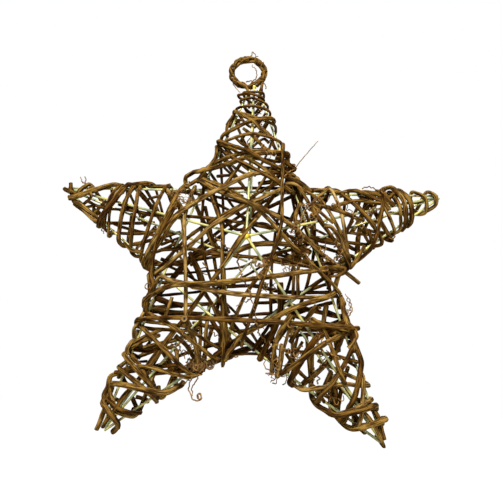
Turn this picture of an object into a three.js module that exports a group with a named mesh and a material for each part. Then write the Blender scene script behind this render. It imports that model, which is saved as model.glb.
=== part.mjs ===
// Rattan star ornament: a five-pointed star of welded wire, pyramid-shaped in front and behind,
// bound all round with dried vines and hung from a ring coiled of one thinner vine.
// Millimetres, +Z up, the front toward -Y, the origin where a hook carries the ring.
import * as THREE from 'three';

// Wire star
const TIP_RADIUS = 210;
const HUB_HEIGHT = 46.5;
const WIRE_DIAMETER = 2.4;
const CLEARANCE = 0.3;

// Inner corners that were bent by hand, as [right, up] from their true places
const CORNER_BEND = { RS: [0, 0], SM: [-5, -5], ML: [-6, -3], LT: [-5, 0], TR: [0, 0] };

// Hanging ring
const RING_HOLE = 30.5;
const RING_VINE = 3.4;
const RING_RISE = 10;
const RING_LEAN = -8;
const RING_TURNS = 3;
const RING_TWISTS = 2;
const RING_SLACK = 0.6;
const RING_TAIL = 52;
const RING_STEP_DEGREES = 12;
const RING_OPENING_DEGREES = 65;

// How a vine lies
const TAUTNESS = 0.8;
const EDGE_TAUTNESS = 0.45;
const CUT_END = 6;
const LONGEST_PIECE = 26;
const SHARPEST_BEND = 42;
const STIFFNESS = 0.75;
const END_LIES_FLAT = 0.6;
const ROUNDS_TO_SETTLE = 80;
const NEIGHBOUR_PIECES = 3;
const SETTLING_PLAY = 0.02;

// Corners of the drawn sections
const WIRE_SIDES = 6;
const THIN_VINE_SIDES = 5;
const THICK_VINE_SIDES = 6;
const THICK_VINE_FROM = 4.25;

// Colours and finish
const WIRE_FINISH = { color: '#a9ab86', roughness: 0.42, metalness: 0.85 };
const BARK_FINISH = { color: '#8a6f4c', roughness: 0.88, metalness: 0 };

// Every vine in the order it was laid, as its name, its diameter and where it crosses the wires.
// A crossing is an arm (T top, R right, S lower right, M lower left, L left), a wire of that arm
// (R its right edge, L its left edge, F its front ridge, B its back ridge) and the place on the
// wire in percent, from the corner or hub to the tip. A vine passes outside an edge, or with
// a last letter f in front of it. A fourth value is how far the last cut end sticks out.
const VINES = [
  ['left_arm_lower_vine', 4, 'LF94 LL87 LL76 LL65 LB56'],
  ['top_tip_vine', 3.2, 'TR90 TB88 TL85 TF87 TR84 TB82 TL79 TF83 TR74 TB74 TL71 TF77 TR68 TB66'],
  ['left_tip_vine', 4.5, 'LB80 LR83 LF88 LL86f'],
  ['right_tip_vine', 3.8, 'RB90 RL91 RF95 RR92 RB87 RL81 RF89 RR83 RB78'],
  ['lower_left_tip_vine', 4.2, 'MR80f MF88 ML79 MB70'],
  ['lower_right_tip_vine', 4.5, 'SL92f SL82f SB76'],
  ['left_arm_crossing_vine', 3.8, 'LB60 LR58 LF70 LL54 LB50 LR44 LF55 LL27 LB38 LR24 LF45 LL18 LB12'],
  ['left_armpit_vine', 4, 'LB20 LR12 LF38 LL12 MR6 MB16'],
  ['left_arm_upper_vine', 4.5, 'LR29 LR39 LR48 LF61 LL39 LB42'],
  ['left_arm_thick_vine', 5.5, 'LB46 LR53 LF66 LL61'],
  ['left_arm_long_vine', 5.5, 'LR63 LF82 LL83f'],
  ['top_arm_wrapping_vine', 3.5, 'TB60 TL67 TF69 TR55 TB48 TL36 TF57 TR39 TB34'],
  ['top_arm_thick_vine', 4.5, 'TB50 TL44 TF65 TR60'],
  ['right_arm_thin_vine', 3.5, 'RL65 RF74 RR60 RB60 RL57 RF66 RR56 RB50'],
  ['right_arm_upper_vine', 4.5, 'RL14 RL28 RF54 RR45 RB40'],
  ['right_arm_long_vine', 4, 'RB64 RL61 RF64 RR28 RR19 RB10'],
  ['right_arm_light_vine', 3.5, 'RB32 RL23 RF44 RR15 RB6'],
  ['right_arm_thick_vine_inner', 5, 'RB58 RL63 RF76 RR65'],
  ['right_arm_thick_vine_outer', 5, 'RB69 RL70 RF80 RR70'],
  ['lower_left_ridge_vine', 4, 'MF93 MF72 MF45 MF20'],
  ['lower_left_upper_vine', 4, 'MR28 MF47 ML19 MB22'],
  ['lower_left_middle_vine', 4, 'MB44 MR34 MF56 ML37 MB40'],
  ['lower_left_flat_vine', 4, 'MR67 MF66 ML36 MB33'],
  ['lower_left_outer_vine', 4.5, 'MB50 MR54 MF69 ML60 MB57 MR63 MF73 ML64'],
  ['lower_left_cut_vine', 5, 'ML48 MF75 MR77 MR89 MR96'],
  ['lower_left_end_vine', 5, 'ML92 MF88 MR84 MR73 MB66'],
  ['lower_right_steep_vine', 5.5, 'SR41 SF50 SL30 SB26'],
  ['lower_right_rising_vine', 4.5, 'SR33 SF53 SL36 SB34'],
  ['lower_right_flat_vine', 4, 'SB38 SR45 SF71 SL69 SB62'],
  ['lower_right_folded_vine', 4.5, 'SB40 SL42 SF66 SR57 SB50'],
  ['lower_right_edge_vine', 5, 'SL24 SL50 SF76 SR76 SB72'],
  ['lower_right_level_vine', 5, 'SB54 SR61 SF82 SL81'],
  ['lower_right_outer_vine', 5, 'SB70 SR80 SF89 SL89'],
  ['front_hanging_vine', 4, 'LR6 LF29 MF40'],
  ['front_upright_vine', 3.5, 'TL12 LF11 MF16 ML13'],
  ['front_middle_vine', 4.5, 'LL5 MR2f MF28 SF30 SL13f'],
  ['front_lower_vine', 4.5, 'MB46 MR38 MF42 SF43 SL40 SB43'],
  ['front_slanting_vine', 4.5, 'TR9 TF15 LF15 LL2f MR12 MR24 MB28'],
  ['top_arm_arching_vine', 5, 'LR12 TL20f TF45 TR28 TB26 LB14 LR17 TL14f TF42 TR31'],
  ['front_rising_vine', 5, 'LB20 LL16 LF33 TF31 TR14 RL9 RB12'],
  ['front_falling_vine', 4, 'TB36 TL40 TF42 TR7f RF33 RR17 RB16'],
  ['front_looped_vine', 5, 'MB36 MR26 MF26 SF20 RR14 SL12f SF35 ML0f ML18 MB24'],
  ['front_straight_vine', 4.5, 'TL3f TF15 RF20 RR9f', 26],
  ['front_long_vine', 3.5, 'TR30f RF15 SF16 SR3f'],
];

const ARM_LETTERS = ['T', 'R', 'S', 'M', 'L'];
const ARM_COUNT = ARM_LETTERS.length;
const TURN = 360 / ARM_COUNT;
const WIRE_RADIUS = WIRE_DIAMETER / 2;
const CORNER_RADIUS = TIP_RADIUS * sine(TURN / 4) / sine(3 * TURN / 4);
const FRONT_HUB = new THREE.Vector3(0, -HUB_HEIGHT, 0);
const BACK_HUB = new THREE.Vector3(0, HUB_HEIGHT, 0);
const FRONT = new THREE.Vector3(0, -1, 0);
const BACK = new THREE.Vector3(0, 1, 0);
const TOUCHING_WIRES = WIRE_DIAMETER + CLEARANCE;

// Ring of a vine that winds RING_TURNS times through its own coil
const RING_STRAND_OFFSET = (RING_VINE + RING_SLACK) / (2 * sine(180 / RING_TURNS));
const RING_THICKNESS = 2 * RING_STRAND_OFFSET + RING_VINE;
const RING_RADIUS = RING_HOLE / 2 + RING_THICKNESS / 2;
const RING_CENTRE = TIP_RADIUS + RING_RISE;
const RING_BOTTOM = RING_CENTRE - RING_HOLE / 2 - RING_THICKNESS;

function sine(degrees) {
  return Math.sin(THREE.MathUtils.degToRad(degrees));
}

function cosine(degrees) {
  return Math.cos(THREE.MathUtils.degToRad(degrees));
}

function onCircle(radius, degrees) {
  return new THREE.Vector3(radius * cosine(degrees), 0, radius * sine(degrees));
}

function tip(arm) {
  return onCircle(TIP_RADIUS, 90 - TURN * arm);
}

// The inner corner between an arm and the next one clockwise
function corner(arm) {
  const here = (arm + ARM_COUNT) % ARM_COUNT;
  const [right, up] = CORNER_BEND[ARM_LETTERS[here] + ARM_LETTERS[(here + 1) % ARM_COUNT]];
  return onCircle(CORNER_RADIUS, 90 - TURN * (here + 0.5)).add(new THREE.Vector3(right, 0, up));
}

// Where an arm's wire starts, and which way is out from it
const WIRE_START = {
  R: (arm) => corner(arm),
  L: (arm) => corner(arm - 1),
  F: () => FRONT_HUB,
  B: () => BACK_HUB,
};
const WIRE_OUTWARD = {
  R: (arm) => onCircle(1, -TURN * arm),
  L: (arm) => onCircle(-1, -TURN * arm),
  F: () => FRONT,
  B: () => BACK,
};

// A path of straight pieces that a section is swept along, turned halfway into each bend
class Route extends THREE.Curve {
  constructor(points) {
    super();
    this.points = points;
  }

  getPoint(share, target = new THREE.Vector3()) {
    const place = share * (this.points.length - 1);
    const piece = Math.min(Math.floor(place), this.points.length - 2);
    return target.lerpVectors(this.points[piece], this.points[piece + 1], place - piece);
  }

  getPointAt(share, target) {
    return this.getPoint(share, target);
  }

  getTangentAt(share, target = new THREE.Vector3()) {
    const last = this.points.length - 1;
    const here = Math.round(share * last);
    const before = direction(this.points[Math.max(here - 1, 0)], this.points[Math.max(here, 1)]);
    const after = direction(this.points[Math.min(here, last - 1)], this.points[Math.min(here + 1, last)]);
    return target.copy(before).add(after).normalize();
  }
}

function direction(from, to) {
  return new THREE.Vector3().subVectors(to, from).normalize();
}

function along(from, to, distance) {
  return direction(from, to).multiplyScalar(distance).add(from);
}

// A rod of a round section, drawn with its corners on the true circle
function rod(points, radius, sides) {
  const section = new THREE.Shape();
  for (let side = 0; side < sides; side += 1) {
    const x = radius * cosine(360 * side / sides);
    const y = radius * sine(360 * side / sides);
    if (side === 0) section.moveTo(x, y);
    else section.lineTo(x, y);
  }
  section.closePath();
  return new THREE.ExtrudeGeometry(section, {
    steps: points.length - 1,
    bevelEnabled: false,
    extrudePath: new Route(points),
  });
}

// Wires stop short of each other at the tips and hubs by the width of one wire
function tipTrim(fromTip, neighbour) {
  return TOUCHING_WIRES / Math.sin(fromTip.angleTo(neighbour));
}

// A wire of the top arm also stops below the ring
function wireEnd(from, arm, trim) {
  const end = along(tip(arm), from, trim);
  const highest = RING_BOTTOM - CLEARANCE - WIRE_RADIUS;
  if (end.z <= highest) return end;
  return new THREE.Vector3().lerpVectors(from, end, (highest - from.z) / (end.z - from.z));
}

// An edge wire runs from tip to tip, over one wire at its first corner and under one at its second
function edgeWire(arm) {
  const offset = new THREE.Vector3(0, TOUCHING_WIRES / 2, 0);
  const first = corner(arm).sub(offset);
  const second = corner(arm + 1).add(offset);
  const trim = TOUCHING_WIRES / (2 * sine(TURN / 4));
  return [
    wireEnd(first, arm, trim),
    first,
    second,
    wireEnd(second, (arm + 2) % ARM_COUNT, trim),
  ];
}

// A ridge wire runs from a hub to a tip
function ridgeWire(hub, arm) {
  const end = tip(arm);
  const nextRidge = direction(hub, tip(arm + 1));
  const hubTrim = TOUCHING_WIRES / (2 * Math.sin(direction(hub, end).angleTo(nextRidge) / 2));
  const trim = tipTrim(direction(end, hub), direction(end, corner(arm)));
  return [along(hub, end, hubTrim), wireEnd(hub, arm, trim)];
}

// One long vine: up the left of the top arm, round the ring, and down again on the right
function ringPath() {
  const sweep = 360 * RING_TURNS - 2 * RING_OPENING_DEGREES;
  const start = -90 - RING_OPENING_DEGREES;
  const points = [];
  for (let angle = 0; angle <= sweep; angle += RING_STEP_DEGREES) {
    const round = start - angle;
    const twist = angle * (RING_TWISTS + 1 / RING_TURNS);
    const point = onCircle(RING_RADIUS + RING_STRAND_OFFSET * cosine(twist), round);
    point.y = RING_STRAND_OFFSET * sine(twist);
    points.push(point.add(new THREE.Vector3(RING_LEAN, 0, RING_CENTRE)));
  }
  const neck = new THREE.Vector3(RING_THICKNESS, -RING_THICKNESS / 2, RING_BOTTOM - RING_VINE);
  const foot = neck.clone().add(new THREE.Vector3(-RING_VINE, 0, -RING_TAIL / 2));
  const leftNeck = neck.clone().multiply(new THREE.Vector3(-1, 1, 1));
  const leftFoot = foot.clone().multiply(new THREE.Vector3(-1, 1, 1));
  return [leftFoot, leftNeck, ...points, neck, foot];
}

function stopAt(text, radius) {
  const arm = ARM_LETTERS.indexOf(text[0]);
  const wire = text[1];
  const share = parseInt(text.slice(2), 10) / 100;
  const point = new THREE.Vector3().lerpVectors(WIRE_START[wire](arm), tip(arm), share);
  const outward = text.endsWith('f') ? FRONT.clone() : WIRE_OUTWARD[wire](arm).clone();
  point.addScaledVector(outward, WIRE_RADIUS + radius + CLEARANCE);
  return { point, outward };
}

// The free shape of a vine that bends smoothly past its crossings, with a cut end past each last one
function freePath(stops, end) {
  const last = stops.length - 1;
  const heading = stops.map((stop, i) => {
    const before = direction(stops[Math.max(i - 1, 0)].point, stops[Math.max(i, 1)].point);
    const after = direction(stops[Math.min(i, last - 1)].point, stops[Math.min(i + 1, last)].point);
    const mean = before.add(after).normalize();
    const isEnd = i === 0 || i === last;
    return isEnd ? mean.addScaledVector(stop.outward, -END_LIES_FLAT * mean.dot(stop.outward)).normalize() : mean;
  });
  const spans = stops.slice(1).map((stop, i) => stops[i].point.distanceTo(stop.point));
  const handle = (i) => {
    const tautness = stops[i].outward.y === 0 ? EDGE_TAUTNESS : TAUTNESS;
    return tautness * Math.min(spans[Math.max(i - 1, 0)], spans[Math.min(i, last - 1)]) / 3;
  };
  const path = [];
  const put = (point, outward) => path.push({ point, outward });
  put(stops[0].point.clone().addScaledVector(heading[0], -CUT_END), stops[0].outward);
  for (let i = 0; i < last; i += 1) {
    const [here, next] = [stops[i], stops[i + 1]];
    const curve = new THREE.CubicBezierCurve3(
      here.point,
      here.point.clone().addScaledVector(heading[i], handle(i)),
      next.point.clone().addScaledVector(heading[i + 1], -handle(i + 1)),
      next.point,
    );
    const bend = THREE.MathUtils.radToDeg(heading[i].angleTo(heading[i + 1]));
    const pieces = Math.max(Math.ceil(spans[i] / LONGEST_PIECE), Math.ceil(bend / SHARPEST_BEND));
    for (let piece = 0; piece < pieces; piece += 1) {
      const share = piece / pieces;
      put(curve.getPoint(share), here.outward.clone().lerp(next.outward, share).normalize());
    }
  }
  put(stops[last].point.clone(), stops[last].outward);
  put(stops[last].point.clone().addScaledVector(heading[last], end), stops[last].outward);
  return path;
}

// The shares along two straight pieces where they come nearest each other
function nearestShares(a, b, c, d) {
  const first = new THREE.Vector3().subVectors(b, a);
  const second = new THREE.Vector3().subVectors(d, c);
  const between = new THREE.Vector3().subVectors(a, c);
  const firstLength = first.lengthSq();
  const secondLength = second.lengthSq();
  const slope = first.dot(second);
  const along1 = first.dot(between);
  const along2 = second.dot(between);
  const clamp = (value) => Math.min(Math.max(value, 0), 1);
  const parallel = firstLength * secondLength - slope * slope;
  let onFirst = parallel > Number.EPSILON ? clamp((slope * along2 - along1 * secondLength) / parallel) : 0.5;
  const onSecond = clamp((slope * onFirst + along2) / secondLength);
  onFirst = clamp((slope * onSecond - along1) / firstLength);
  return [onFirst, onSecond];
}

// How far a piece must move outward to clear another, and where along itself they meet
function liftOver(start, end, obstacle, radius) {
  const [here, there] = nearestShares(start.point, end.point, obstacle.from, obstacle.to);
  const mine = start.point.clone().lerp(end.point, here);
  const away = mine.sub(obstacle.from.clone().lerp(obstacle.to, there));
  const needed = radius + obstacle.radius + CLEARANCE;
  if (away.length() >= needed) return null;
  const outward = start.outward.clone().lerp(end.outward, here).normalize();
  const raised = away.dot(outward);
  const sideways = away.lengthSq() - raised * raised;
  return { here, lift: Math.sqrt(Math.max(needed * needed - sideways, 0)) - raised + SETTLING_PLAY };
}

function near(start, end, obstacle, reach) {
  return ['x', 'y', 'z'].every((axis) => (
    Math.min(obstacle.from[axis], obstacle.to[axis]) - reach < Math.max(start.point[axis], end.point[axis])
    && Math.max(obstacle.from[axis], obstacle.to[axis]) + reach > Math.min(start.point[axis], end.point[axis])
  ));
}

// Press a vine down on what lies there already: every part of it rises outward until it is clear
function layVine(stops, radius, end, laid) {
  const path = freePath(stops, end);
  const candidates = path.slice(1).map((knot, i) => (
    laid.filter((other) => near(path[i], knot, other, LONGEST_PIECE))
  ));
  for (let round = 0; round < ROUNDS_TO_SETTLE; round += 1) {
    const lifts = path.map(() => 0);
    for (let i = 0; i < path.length - 1; i += 1) {
      const own = pieces(path.slice(0, Math.max(i - NEIGHBOUR_PIECES + 1, 0)).map((knot) => knot.point), radius);
      for (const obstacle of [...candidates[i], ...own]) {
        const contact = liftOver(path[i], path[i + 1], obstacle, radius);
        if (contact) {
          const { here, lift } = contact;
          const weight = (1 - here) ** 2 + here ** 2;
          lifts[i] = Math.max(lifts[i], lift * (1 - here) / weight);
          lifts[i + 1] = Math.max(lifts[i + 1], lift * here / weight);
        }
      }
    }
    if (Math.max(...lifts) === 0) break;
    const eased = lifts.map((lift, i) => (
      Math.max(lift, STIFFNESS * ((lifts[i - 1] ?? 0) + (lifts[i + 1] ?? 0)) / 2)
    ));
    path.forEach((knot, i) => knot.point.addScaledVector(knot.outward, eased[i]));
  }
  return path.map((knot) => knot.point);
}

function pieces(points, radius) {
  return points.slice(1).map((to, i) => ({ from: points[i], to, radius }));
}

function add(group, name, geometry, finish) {
  const mesh = new THREE.Mesh(geometry, new THREE.MeshStandardMaterial(finish));
  mesh.name = name;
  group.add(mesh);
}

function buildStar() {
  const star = new THREE.Group();
  const vineSides = (diameter) => (diameter < THICK_VINE_FROM ? THIN_VINE_SIDES : THICK_VINE_SIDES);
  const laid = [];
  const place = (name, points, diameter, sides, finish) => {
    laid.push(...pieces(points, diameter / 2));
    add(star, name, rod(points, diameter / 2, sides), finish);
  };
  const armNames = ['top', 'right', 'lower_right', 'lower_left', 'left'];
  armNames.forEach((name, arm) => {
    place(`${name}_edge_wire`, edgeWire(arm), WIRE_DIAMETER, WIRE_SIDES, WIRE_FINISH);
    place(`${name}_front_ridge_wire`, ridgeWire(FRONT_HUB, arm), WIRE_DIAMETER, WIRE_SIDES, WIRE_FINISH);
    place(`${name}_back_ridge_wire`, ridgeWire(BACK_HUB, arm), WIRE_DIAMETER, WIRE_SIDES, WIRE_FINISH);
  });
  place('hanging_ring', ringPath(), RING_VINE, WIRE_SIDES, BARK_FINISH);
  for (const [name, diameter, crossings, end = CUT_END] of VINES) {
    const stops = crossings.split(' ').map((text) => stopAt(text, diameter / 2));
    place(name, layVine(stops, diameter / 2, end, laid), diameter, vineSides(diameter), BARK_FINISH);
  }
  star.position.set(-RING_LEAN, 0, -(RING_CENTRE + RING_HOLE / 2));
  return star;
}

export default buildStar();
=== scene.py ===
# %% [markdown]
# # A rattan star in Blender
# The ornament is a five-pointed star of welded wire, raised to a low point in front and behind.
# Dried vines are wound round its arms and across its middle, and a coil of thinner vine makes
# the ring that it hangs from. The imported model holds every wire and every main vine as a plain
# faceted rod. This lesson gives those rods their bark, and adds the thin stuff between them.

# %% Load the frame
import math
import random

import bpy
import numpy as np
from mathutils import Matrix, Vector


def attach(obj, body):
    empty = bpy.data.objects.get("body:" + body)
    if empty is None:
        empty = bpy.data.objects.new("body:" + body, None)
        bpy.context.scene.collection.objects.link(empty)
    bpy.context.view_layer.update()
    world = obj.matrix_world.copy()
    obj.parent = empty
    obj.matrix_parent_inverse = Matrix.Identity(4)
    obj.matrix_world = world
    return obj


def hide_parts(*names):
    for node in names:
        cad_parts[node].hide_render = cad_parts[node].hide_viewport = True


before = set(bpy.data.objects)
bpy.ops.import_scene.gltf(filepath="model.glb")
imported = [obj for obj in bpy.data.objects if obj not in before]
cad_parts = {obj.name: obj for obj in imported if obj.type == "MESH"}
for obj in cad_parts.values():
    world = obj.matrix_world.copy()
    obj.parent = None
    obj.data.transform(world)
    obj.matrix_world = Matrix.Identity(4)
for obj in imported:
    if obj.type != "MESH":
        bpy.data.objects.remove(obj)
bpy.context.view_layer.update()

# %% [markdown]
# ## Sizes that everything below shares
# The star's own centre lies below the hook, and a little to one side, because the ring leans.
# Points of the star are worked out from one radius and one height, as they are on the real frame.

# %% Sizes of the star, in metres
MM = 0.001
STAR_CENTRE = Vector((8, 0, -235.25)) * MM
TIP_RADIUS = 210 * MM
HUB_HEIGHT = 46.5 * MM
WIRE_RADIUS = 1.2 * MM
RING_CENTRE = Vector((0, 0, -15.25)) * MM
ARMS = "TRSML"
CORNER_RADIUS = TIP_RADIUS * math.sin(math.radians(18)) / math.sin(math.radians(54))
CORNER_BEND = {"RS": (0, 0), "SM": (-5, -5), "ML": (-6, -3), "LT": (-5, 0), "TR": (0, 0)}


def on_circle(radius, degrees):
    """A point of the star's plane, seen from its centre."""
    angle = math.radians(degrees)
    return Vector((radius * math.cos(angle), 0, radius * math.sin(angle)))


def tip(arm):
    """The end of an arm, counted clockwise from the top."""
    return STAR_CENTRE + on_circle(TIP_RADIUS, 90 - 72 * arm)


def corner(arm):
    """The inner corner between an arm and the next one clockwise."""
    here = arm % 5
    right, up = CORNER_BEND[ARMS[here] + ARMS[(here + 1) % 5]]
    return STAR_CENTRE + on_circle(CORNER_RADIUS, 54 - 72 * here) + Vector((right, 0, up)) * MM


def hub(side):
    """The raised middle, in front for side -1 and behind for side 1."""
    return STAR_CENTRE + Vector((0, side * HUB_HEIGHT, 0))


print("tips:", [tuple(round(c, 3) for c in tip(arm)) for arm in range(5)])

# %% [markdown]
# ## The camera
# The photograph was taken close up and from below, so the star's lines run together strongly.
# The lens and the place were found by fitting a regular star to the five tips and the hub.
# The axes are written out because the camera also leans a little to one side.

# %% Camera
IMAGE_WIDTH = 502
CAMERA_PLACE = STAR_CENTRE + Vector((13.1, -329.0, -95.8)) * MM
CAMERA_YAW = -0.0305
CAMERA_PITCH = 0.2833
CAMERA_ROLL = 0.0355
FOCAL_PIXELS = 341.3
SENSOR_MM = 36


def camera_axes():
    """The camera's right, up and forward directions."""
    forward = Vector((
        math.sin(CAMERA_YAW) * math.cos(CAMERA_PITCH),
        math.cos(CAMERA_YAW) * math.cos(CAMERA_PITCH),
        math.sin(CAMERA_PITCH),
    ))
    level = Vector((math.cos(CAMERA_YAW), -math.sin(CAMERA_YAW), 0))
    upright = level.cross(forward)
    right = level * math.cos(CAMERA_ROLL) + upright * math.sin(CAMERA_ROLL)
    up = upright * math.cos(CAMERA_ROLL) - level * math.sin(CAMERA_ROLL)
    return right, up, forward


RIGHT, UP, FORWARD = camera_axes()
camera_data = bpy.data.cameras.new("camera")
camera_data.sensor_width = SENSOR_MM
camera_data.lens = FOCAL_PIXELS / IMAGE_WIDTH * SENSOR_MM
camera_data.clip_start = 0.01
camera = bpy.data.objects.new("camera", camera_data)
camera.matrix_world = Matrix.Translation(CAMERA_PLACE) @ Matrix((RIGHT, UP, -FORWARD)).transposed().to_4x4()
bpy.context.scene.collection.objects.link(camera)
bpy.context.scene.camera = camera
print("lens:", round(camera_data.lens, 2), "mm")

# %% [markdown]
# ## Surroundings
# The object was shot on pure white, but the undersides of its vines are near black, so little
# light came from all round. The surroundings look white to the camera only. What they shine on
# the star is faint and warm, like light that has come off other vines first.

# %% Surroundings
AMBIENT = 0.05
AMBIENT_COLOUR = (1.0, 0.62, 0.24, 1.0)
WHITE = (1.0, 1.0, 1.0, 1.0)


def add_node(tree, kind, settings=None, links=None):
    """A shader node with its settings and its inputs: a value, or another node's output."""
    node = tree.nodes.new(kind)
    for key, value in (settings or {}).items():
        setattr(node, key, value)
    for key, value in (links or {}).items():
        if isinstance(value, bpy.types.NodeSocket):
            tree.links.new(value, node.inputs[key])
        else:
            node.inputs[key].default_value = value
    return node


world = bpy.data.worlds.new("white surroundings")
world.use_nodes = True
tree = world.node_tree
tree.nodes.clear()
rays = add_node(tree, "ShaderNodeLightPath")
strength = add_node(tree, "ShaderNodeMapRange", None, {
    0: rays.outputs["Is Camera Ray"], 3: AMBIENT, 4: 1.0})
tint = add_node(tree, "ShaderNodeMix", {"data_type": "RGBA"}, {
    "Factor": rays.outputs["Is Camera Ray"], "A": AMBIENT_COLOUR, "B": WHITE})
glow = add_node(tree, "ShaderNodeBackground", None, {
    "Color": tint.outputs["Result"], "Strength": strength.outputs[0]})
add_node(tree, "ShaderNodeOutputWorld", None, {"Surface": glow.outputs[0]})
bpy.context.scene.world = world
bpy.context.scene.view_settings.view_transform = "Standard"
print("surroundings shine at", AMBIENT, "of what the camera sees")

# %% [markdown]
# ## Lights
# The tops of the vines are light and their undersides dark, so the main light stands above the
# camera. Weaker ones stand in front below, to the right and behind, so that every side of the
# star can be looked at.

# %% Lights
# Each row gives a name, a place and a width in metres, a power in watts and a colour.
LIGHTS = [
    ("key light", (-0.1, -1.0, 0.45), 0.3, 30, (1.0, 0.98, 0.94)),
    ("low front light", (0.1, -1.1, -0.5), 0.3, 4, (1.0, 0.93, 0.8)),
    ("side light", (0.9, -0.7, -0.1), 0.6, 2, (1.0, 0.93, 0.8)),
    ("back light", (0.2, 1.1, 0.35), 0.6, 22, (1.0, 0.98, 0.93)),
]


def area_light(name, place, aim, size, watts, colour):
    """A square soft light that looks at a point."""
    data = bpy.data.lights.new(name, "AREA")
    data.shape = "SQUARE"
    data.size = size
    data.energy = watts
    data.color = colour
    light = bpy.data.objects.new(name, data)
    light.location = place
    light.rotation_mode = "QUATERNION"
    light.rotation_quaternion = (Vector(aim) - Vector(place)).to_track_quat("-Z", "Y")
    bpy.context.scene.collection.objects.link(light)


for name, place, size, watts, colour in LIGHTS:
    area_light(name, place, STAR_CENTRE, size, watts, colour)
print(len(LIGHTS), "lights")

# %% [markdown]
# ## Floor
# The photograph shows no floor, only white. A wide plane far below the star stands for a white
# painted floor, and gets its finish further down.

# %% Floor
FLOOR_DROP = 1.3
FLOOR_HALF = 6.0
floor_mesh = bpy.data.meshes.new("floor")
floor_corners = [(x * FLOOR_HALF, y * FLOOR_HALF, 0) for x, y in ((-1, -1), (1, -1), (1, 1), (-1, 1))]
floor_mesh.from_pydata(floor_corners, [], [(0, 1, 2, 3)])
floor = bpy.data.objects.new("floor", floor_mesh)
floor.location.z = -FLOOR_DROP
bpy.context.scene.collection.objects.link(floor)
print("floor", FLOOR_DROP, "m below the hook")

# %% [markdown]
# ## Colours
# Colours are written as a picture program shows them, in sRGB, and turned to the linear values
# that a shader wants by one function.

# %% Colour helper


def linear(hex_colour):
    """An sRGB hex colour as linear RGBA."""
    values = [int(hex_colour[i:i + 2], 16) / 255 for i in (1, 3, 5)]
    return tuple(v / 12.92 if v <= 0.04045 else ((v + 0.055) / 1.055) ** 2.4 for v in values) + (1.0,)


def new_material(name):
    """An empty material: its node tree and its surface shader."""
    material = bpy.data.materials.new(name)
    material.use_nodes = True
    tree = material.node_tree
    tree.nodes.clear()
    surface = add_node(tree, "ShaderNodeBsdfPrincipled")
    add_node(tree, "ShaderNodeOutputMaterial", None, {"Surface": surface.outputs[0]})
    return material, tree, surface


def ramp(tree, factor, stops):
    """A colour ramp through (place, hex colour) stops."""
    node = add_node(tree, "ShaderNodeValToRGB", None, {"Fac": factor})
    while len(node.color_ramp.elements) < len(stops):
        node.color_ramp.elements.new(0.5)
    for element, (place, colour) in zip(node.color_ramp.elements, stops):
        element.position = place
        element.color = linear(colour)
    return node.outputs["Color"]


print("mid brown in linear light:", linear("#8a6f4c"))

# %% [markdown]
# ## Floor finish
# A white painted floor. To the camera it glows, so that its edge is lost in the surroundings, but
# it throws little light up at the star, whose undersides are dark in the photograph.

# %% White painted floor
FLOOR_GLOW = 0.08
floor_paint, tree, surface = new_material("white painted floor")
surface.inputs["Base Color"].default_value = linear("#f2f2f0")
surface.inputs["Roughness"].default_value = 0.9
surface.inputs["Emission Color"].default_value = WHITE
rays = add_node(tree, "ShaderNodeLightPath")
glow = add_node(tree, "ShaderNodeMapRange", None, {0: rays.outputs["Is Camera Ray"], 3: FLOOR_GLOW, 4: 1.0})
tree.links.new(glow.outputs[0], surface.inputs["Emission Strength"])
floor_mesh.materials.append(floor_paint)
print(floor_paint.name)

# %% [markdown]
# ## Bark
# The vines are dried with their bark on. It is matt, grooved along the vine, greyish ochre where
# light strikes the ridges and near black in the grooves, and no two vines are alike. The pattern
# is drawn in the vine's own space: each vertex knows how far round and how far along its vine it
# lies, in millimetres, so that the grooves follow every bend. A second value per vine picks its
# tone, from dark umber to pale straw. Drying has left no sap to shine, so there is almost no gloss.

# %% Dried vine bark
GROOVE_WIDTH_MM = 1.1
GROOVE_LENGTH_MM = 14.0
PATCH_WIDTH_MM = 4.0
PATCH_LENGTH_MM = 13.0
GROOVE_DEPTH = 0.9 * MM


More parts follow.
